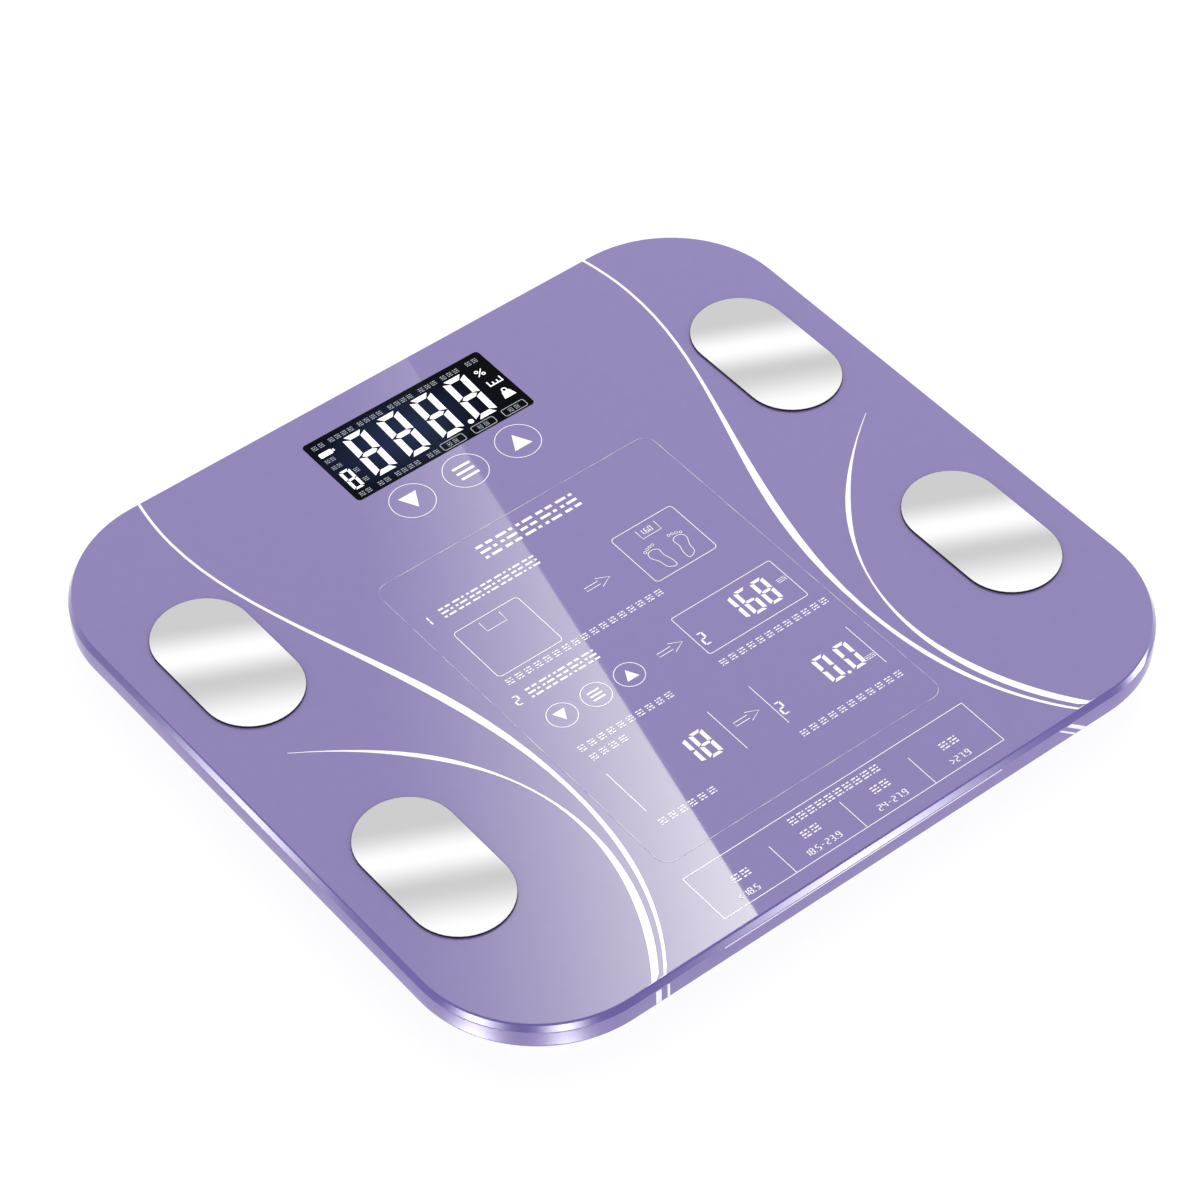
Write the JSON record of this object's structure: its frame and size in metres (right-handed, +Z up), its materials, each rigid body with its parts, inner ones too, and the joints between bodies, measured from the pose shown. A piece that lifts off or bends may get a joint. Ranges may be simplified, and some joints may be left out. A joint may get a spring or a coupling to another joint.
{
  "type": "digital bathroom scale",
  "caption": "Free-standing glass body scale with rounded corners, steel electrode plates, a display window, touch keys and a shallow tray on load-sensing feet.",
  "frame": {"origin": "on the floor, under the middle of the glass", "axes": "+X to the right, +Y towards the display, +Z up"},
  "size_m": [0.3, 0.28, 0.027],
  "materials": {
    "platform_glass": "polished",
    "printed_film": "gloss print",
    "electrode_steel": "brushed",
    "foot_plastic": "fine texture",
    "pad_rubber": "matte",
    "cell_steel": "satin",
    "tray_plastic": "fine texture",
    "foam_tape": "matte",
    "adhesive": "matte",
    "fastener_steel": "zinc plated",
    "washer_plastic": "matte",
    "terminal_brass": "satin",
    "sealant": "matte",
    "board": "solder resist",
    "chip_black": "moulded resin",
    "lcd_glass": "polished",
    "lcd_polariser": "satin",
    "light_guide": "frosted",
    "led": "moulded",
    "black_plastic": "fine texture",
    "black_foam": "foam",
    "zebra_rubber": "striped",
    "spring_steel": "bright",
    "battery_sleeve": "gloss label",
    "contact_plate": "nickel plated",
    "wire_red": "PVC",
    "wire_black": "PVC",
    "wire_white": "PVC",
    "wire_blue": "PVC"
  },
  "bodies": {
    "platform": {"glass_platform": "platform_glass", "printed_film": "printed_film", "electrode_rear_left": "electrode_steel", "load_cell_rear_left": "cell_steel", "electrode_rear_right": "electrode_steel", "load_cell_rear_right": "cell_steel", "electrode_front_left": "electrode_steel", "load_cell_front_left": "cell_steel", "electrode_front_right": "electrode_steel", "load_cell_front_right": "cell_steel", "base_tray": "tray_plastic", "bonding_discs": "foam_tape", "perimeter_gasket": "foam_tape", "electrode_adhesive": "adhesive", "electrode_studs": "fastener_steel", "electrode_washers": "washer_plastic", "electrode_terminals": "terminal_brass", "electrode_nuts": "fastener_steel", "strain_gauges": "sealant", "main_board": "board", "board_screws": "fastener_steel", "controller_blob": "chip_black", "board_chips": "chip_black", "lcd_glass": "lcd_glass", "lcd_polariser": "lcd_polariser", "lcd_backlight": "light_guide", "backlight_leds": "led", "lcd_frame": "black_plastic", "lcd_gasket": "black_foam", "zebra_strip": "zebra_rubber", "touch_spring_down": "spring_steel", "touch_spring_set": "spring_steel", "touch_spring_up": "spring_steel", "battery_rear": "battery_sleeve", "battery_front": "battery_sleeve", "battery_springs": "spring_steel", "battery_contacts": "contact_plate", "cell_wires_red": "wire_red", "cell_wires_black": "wire_black", "cell_wires_white": "wire_white", "electrode_wires": "wire_blue", "battery_wire_plus": "wire_red", "battery_wire_minus": "wire_black"},
    "battery_door": {"battery_door": "tray_plastic"},
    "foot_rear_left": {"foot_cap_rear_left": "foot_plastic", "foot_pad_rear_left": "pad_rubber"},
    "foot_rear_right": {"foot_cap_rear_right": "foot_plastic", "foot_pad_rear_right": "pad_rubber"},
    "foot_front_left": {"foot_cap_front_left": "foot_plastic", "foot_pad_front_left": "pad_rubber"},
    "foot_front_right": {"foot_cap_front_right": "foot_plastic", "foot_pad_front_right": "pad_rubber"}
  },
  "joints": [
    {"name": "foot_rear_left_drop", "type": "slide", "parent": "platform", "child": "foot_rear_left", "axis": [0, 0, -1], "range_m": [0, 0.001]},
    {"name": "foot_rear_right_drop", "type": "slide", "parent": "platform", "child": "foot_rear_right", "axis": [0, 0, -1], "range_m": [0, 0.001]},
    {"name": "foot_front_left_drop", "type": "slide", "parent": "platform", "child": "foot_front_left", "axis": [0, 0, -1], "range_m": [0, 0.001]},
    {"name": "foot_front_right_drop", "type": "slide", "parent": "platform", "child": "foot_front_right", "axis": [0, 0, -1], "range_m": [0, 0.001]},
    {"name": "battery_door_swing", "type": "hinge", "parent": "platform", "child": "battery_door", "pos_m": [-0.0291, 0.035, 0.0033], "axis": [0, 1, 0], "range_deg": [0, 80]}
  ]
}
